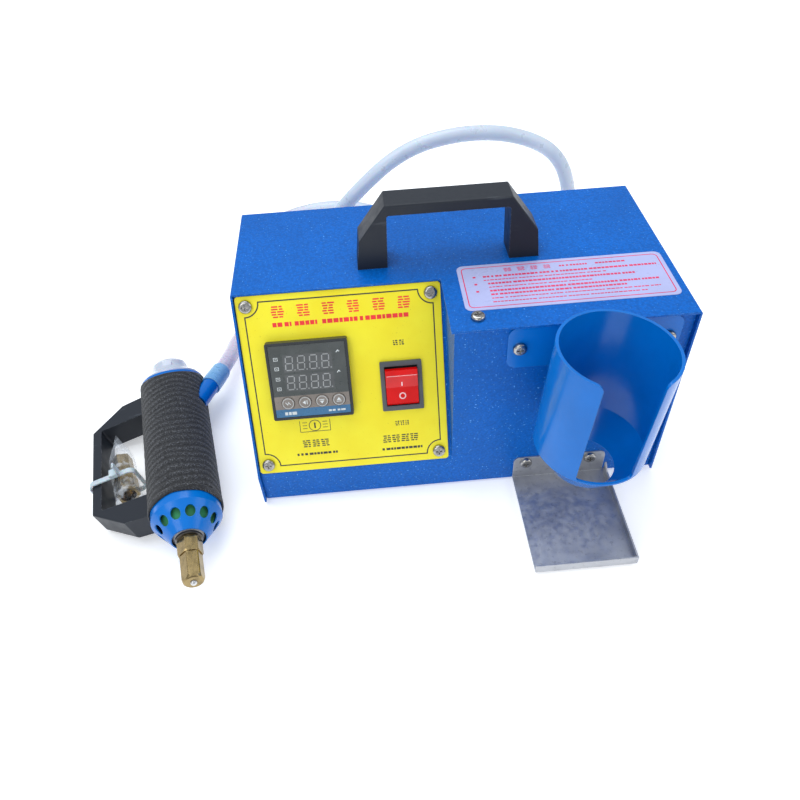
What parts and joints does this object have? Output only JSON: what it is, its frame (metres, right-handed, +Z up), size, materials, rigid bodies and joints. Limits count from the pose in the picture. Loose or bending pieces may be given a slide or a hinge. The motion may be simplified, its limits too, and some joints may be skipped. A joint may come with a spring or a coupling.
{
  "type": "hot melt glue applicator",
  "caption": "Bench glue applicator: sloped-front steel control box with carry handle, gun holder cup and drip tray, and a heated hand gun on a flexible hose.",
  "frame": {"origin": "middle of the footprint without the hose, on the surface that it stands on", "axes": "+X to the operator's right along the box, +Y to the back, +Z up"},
  "size_m": [0.3736, 0.4315, 0.172],
  "materials": {
    "blue_powder_coat": "fine wrinkle powder coat with sparkle",
    "blue_gloss": "smooth glossy paint",
    "yellow_plate": "satin film on sheet",
    "black_plastic": "fine moulded texture",
    "bezel_plastic": "satin",
    "controller_face": "smooth film",
    "key_membrane": "soft membrane",
    "grey_plastic": "satin",
    "red_rocker": "translucent gloss",
    "plated_screw": "bright plated",
    "brass": "machined",
    "bare_steel": "ground",
    "galvanised_sheet": "spangled zinc",
    "label_film": "satin film",
    "rubber": "matte",
    "circuit_board": "solder mask",
    "display_module": "smooth",
    "relay_plastic": "satin",
    "green_insulation": "woven glass sleeve",
    "barrel_aluminium": "machined",
    "heater_mica": "sheet",
    "black_fabric": "ribbed woven nylon",
    "white_plastic": "moulded",
    "silicone_hose": "milky translucent silicone",
    "cuff_film": "shrink film",
    "clear_bag": "thin clear film",
    "tie_nylon": "translucent nylon"
  },
  "bodies": {
    "base": {"chassis": "blue_powder_coat", "cover": "blue_powder_coat", "cover_screws": "plated_screw", "rubber_feet": "rubber", "carry_handle": "black_plastic", "carry_handle_screws": "plated_screw", "instruction_label": "label_film", "control_plate": "yellow_plate", "control_plate_screws": "plated_screw", "controller_case": "bezel_plastic", "controller_face": "controller_face", "controller_display": "display_module", "controller_board": "circuit_board", "controller_terminals": "bezel_plastic", "controller_clamp": "bezel_plastic", "switch_body": "grey_plastic", "switch_tabs": "brass", "cup_bracket": "blue_gloss", "gun_cup": "blue_gloss", "cup_screws": "plated_screw", "drip_tray": "galvanised_sheet", "tray_screws": "plated_screw", "power_inlet": "black_plastic", "inlet_screws": "plated_screw", "hose_gland": "black_plastic", "gland_nut": "black_plastic", "heater_relay": "relay_plastic", "relay_screws": "plated_screw", "terminal_strip": "relay_plastic", "glue_hose": "silicone_hose"},
    "gun": {"gun_housing": "blue_gloss", "gun_insulation": "green_insulation", "glue_barrel": "barrel_aluminium", "barrel_heater": "heater_mica", "thermocouple": "bare_steel", "nozzle_nut": "brass", "nozzle_tip": "brass", "valve_spring": "bare_steel", "gun_handle": "black_plastic", "gun_handle_screws": "plated_screw", "gun_sleeve": "black_fabric", "hose_cuff": "cuff_film", "spare_nozzle": "brass", "spare_bag": "clear_bag", "cable_tie": "tie_nylon"},
    "rocker": {"switch_rocker": "red_rocker"},
    "valve": {"valve_pin": "bare_steel"},
    "seal": {"cap_seal": "rubber"},
    "cap": {"gun_cap": "white_plastic"},
    "key_set": {"key_set": "key_membrane"},
    "key_shift": {"key_shift": "key_membrane"},
    "key_down": {"key_down": "key_membrane"},
    "key_up": {"key_up": "key_membrane"}
  },
  "joints": [
    {"name": "gun_lift", "type": "slide", "parent": "base", "child": "gun", "axis": [0, 0, 1], "range_m": [0, 0.06], "deforming": ["glue_hose"]},
    {"name": "rocker_tilt", "type": "hinge", "parent": "base", "child": "rocker", "pos_m": [0.02404, -0.01907, 0.07415], "axis": [-1, 0, 0], "range_deg": [0, 20]},
    {"name": "press_set", "type": "slide", "parent": "base", "child": "key_set", "axis": [0, 0.911, -0.4125], "range_m": [0, 0.0005], "stiffness_N_per_m": 500},
    {"name": "press_shift", "type": "slide", "parent": "base", "child": "key_shift", "axis": [0, 0.911, -0.4125], "range_m": [0, 0.0005], "stiffness_N_per_m": 500},
    {"name": "press_down", "type": "slide", "parent": "base", "child": "key_down", "axis": [0, 0.911, -0.4125], "range_m": [0, 0.0005], "stiffness_N_per_m": 500},
    {"name": "press_up", "type": "slide", "parent": "base", "child": "key_up", "axis": [0, 0.911, -0.4125], "range_m": [0, 0.0005], "stiffness_N_per_m": 500},
    {"name": "valve_press", "type": "slide", "parent": "gun", "child": "valve", "axis": [-0.2096, 0.9778, 0], "range_m": [0, 0.0012], "stiffness_N_per_m": 1200, "deforming": ["valve_spring"]},
    {"name": "seal_travel", "type": "slide", "parent": "gun", "child": "seal", "axis": [-0.1815, 0.8468, 0.5], "range_m": [0, 0.0046]},
    {"name": "cap_turn", "type": "hinge", "parent": "seal", "child": "cap", "pos_m": [-0.13935, 0.06203, 0.02425], "axis": [-0.1815, 0.8468, 0.5], "range_deg": [0, 1080]}
  ],
  "couplings": [
    {"joint": "seal_travel", "follows": "cap_turn", "m_per_rad": 0.00023873}
  ]
}
